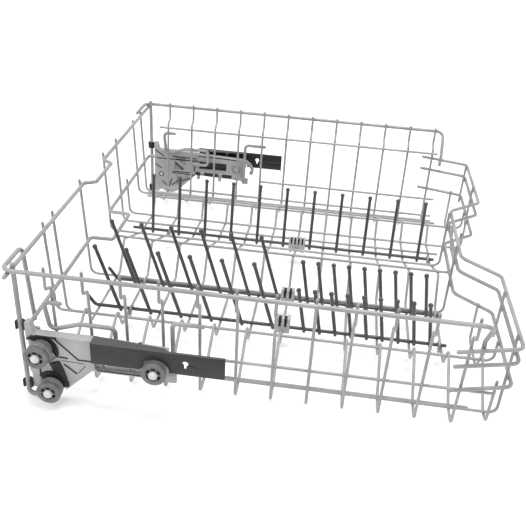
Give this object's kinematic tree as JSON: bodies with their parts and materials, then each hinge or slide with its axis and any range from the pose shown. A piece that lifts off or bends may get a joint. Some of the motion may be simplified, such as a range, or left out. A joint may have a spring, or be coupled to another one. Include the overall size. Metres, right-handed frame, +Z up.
{
  "type": "dishwasher basket",
  "caption": "Upper dishwasher basket of bent, coated wire with ridged floor, folding tine rows, a recessed front and height-adjustable roller carriers on both sides.",
  "frame": {"origin": "under the middle of the basket, on the plane that the corner posts' feet stand on", "axes": "+X to the front with the hand recess, +Y to the right, +Z up"},
  "size_m": [0.503, 0.548, 0.159],
  "materials": {
    "grey_coated_wire": "satin plastic coating on steel wire",
    "dark_coated_wire": "satin dark grey plastic coating on steel wire",
    "grey_plastic": "moulded, fine satin",
    "dark_plastic": "moulded, matte",
    "roller_plastic": "moulded, satin",
    "axle_steel": "turned and polished cap"
  },
  "bodies": {
    "basket": {"centre_clips": "grey_plastic", "corner_posts": "grey_coated_wire", "cross_wire_01": "grey_coated_wire", "cross_wire_02": "grey_coated_wire", "cross_wire_03": "grey_coated_wire", "cross_wire_04": "grey_coated_wire", "cross_wire_05": "grey_coated_wire", "cross_wire_06": "grey_coated_wire", "cross_wire_07": "grey_coated_wire", "cross_wire_08": "grey_coated_wire", "cross_wire_09": "grey_coated_wire", "cross_wire_10": "grey_coated_wire", "cross_wire_11": "grey_coated_wire", "cross_wire_12": "grey_coated_wire", "edge_wires": "grey_coated_wire", "front_cross_wires": "grey_coated_wire", "front_low_rail": "grey_coated_wire", "front_middle_rail": "grey_coated_wire", "front_top_rail": "grey_coated_wire", "front_uprights": "grey_coated_wire", "left_rim": "grey_coated_wire", "left_valley_wire": "grey_coated_wire", "left_wall_wires": "grey_coated_wire", "lift_loops": "grey_coated_wire", "middle_ridge_wire": "grey_coated_wire", "middle_wire": "grey_coated_wire", "rear_rail": "grey_coated_wire", "rear_rim": "grey_coated_wire", "ridge_wires": "grey_coated_wire", "right_rim": "grey_coated_wire", "right_slope_wire": "grey_coated_wire", "right_valley_wire": "grey_coated_wire", "right_wall_wires": "grey_coated_wire", "rod_eyes": "grey_coated_wire", "side_hooks": "grey_coated_wire", "slope_wire": "grey_coated_wire", "terrace_wire": "grey_coated_wire"},
    "front_left_tines": {"front_left_tines": "dark_coated_wire"},
    "front_right_tines": {"front_right_tines": "dark_coated_wire"},
    "left_carrier": {"left_axle_pins": "axle_steel", "left_carrier": "grey_plastic", "left_post_guides": "dark_plastic", "left_rail_cover": "dark_plastic"},
    "left_lower_roller": {"left_lower_roller": "roller_plastic"},
    "left_middle_roller": {"left_middle_roller": "roller_plastic"},
    "left_release_lever": {"left_release_lever": "grey_plastic"},
    "left_upper_roller": {"left_upper_roller": "roller_plastic"},
    "middle_left_tines": {"middle_left_tines": "dark_coated_wire"},
    "middle_right_tines": {"middle_right_tines": "dark_coated_wire"},
    "rear_tines": {"rear_tines": "dark_coated_wire"},
    "right_carrier": {"right_axle_pins": "axle_steel", "right_carrier": "grey_plastic", "right_post_guides": "dark_plastic", "right_rail_cover": "dark_plastic"},
    "right_lower_roller": {"right_lower_roller": "roller_plastic"},
    "right_middle_roller": {"right_middle_roller": "roller_plastic"},
    "right_release_lever": {"right_release_lever": "grey_plastic"},
    "right_upper_roller": {"right_upper_roller": "roller_plastic"}
  },
  "joints": [
    {"name": "front_left_tines_fold", "type": "hinge", "parent": "basket", "child": "front_left_tines", "pos_m": [0, -0.1135, 0.02652], "axis": [-1, 0, 0], "range_deg": [0, 80]},
    {"name": "front_right_tines_fold", "type": "hinge", "parent": "basket", "child": "front_right_tines", "pos_m": [0, -0.1135, 0.02652], "axis": [-1, 0, 0], "range_deg": [0, 88]},
    {"name": "middle_left_tines_fold", "type": "hinge", "parent": "basket", "child": "middle_left_tines", "pos_m": [0, -0.0515, 0.02652], "axis": [-1, 0, 0], "range_deg": [0, 48]},
    {"name": "middle_right_tines_fold", "type": "hinge", "parent": "basket", "child": "middle_right_tines", "pos_m": [0, -0.0515, 0.02652], "axis": [-1, 0, 0], "range_deg": [0, 56]},
    {"name": "rear_tines_fold", "type": "hinge", "parent": "basket", "child": "rear_tines", "pos_m": [0, 0.082, 0.03052], "axis": [1, 0, 0], "range_deg": [0, 70]},
    {"name": "left_carrier_lift", "type": "slide", "parent": "basket", "child": "left_carrier", "axis": [0, 0, 1], "range_m": [0, 0.03]},
    {"name": "left_upper_roller_spin", "type": "hinge", "parent": "left_carrier", "child": "left_upper_roller", "pos_m": [-0.2195, -0.266, 0.0645], "axis": [0, 1, 0], "continuous": true},
    {"name": "left_lower_roller_spin", "type": "hinge", "parent": "left_carrier", "child": "left_lower_roller", "pos_m": [-0.2103, -0.266, 0.0215], "axis": [0, 1, 0], "continuous": true},
    {"name": "left_middle_roller_spin", "type": "hinge", "parent": "left_carrier", "child": "left_middle_roller", "pos_m": [-0.1006, -0.266, 0.0625], "axis": [0, 1, 0], "continuous": true},
    {"name": "left_release_press", "type": "hinge", "parent": "left_carrier", "child": "left_release_lever", "pos_m": [-0.0966, -0.254, 0.0755], "axis": [0, -1, 0], "range_deg": [0, 12]},
    {"name": "right_carrier_lift", "type": "slide", "parent": "basket", "child": "right_carrier", "axis": [0, 0, 1], "range_m": [0, 0.03]},
    {"name": "right_upper_roller_spin", "type": "hinge", "parent": "right_carrier", "child": "right_upper_roller", "pos_m": [-0.2195, 0.266, 0.0645], "axis": [0, 1, 0], "continuous": true},
    {"name": "right_lower_roller_spin", "type": "hinge", "parent": "right_carrier", "child": "right_lower_roller", "pos_m": [-0.2103, 0.266, 0.0215], "axis": [0, 1, 0], "continuous": true},
    {"name": "right_middle_roller_spin", "type": "hinge", "parent": "right_carrier", "child": "right_middle_roller", "pos_m": [-0.1006, 0.266, 0.0625], "axis": [0, 1, 0], "continuous": true},
    {"name": "right_release_press", "type": "hinge", "parent": "right_carrier", "child": "right_release_lever", "pos_m": [-0.0966, 0.254, 0.0755], "axis": [0, -1, 0], "range_deg": [0, 12]}
  ]
}
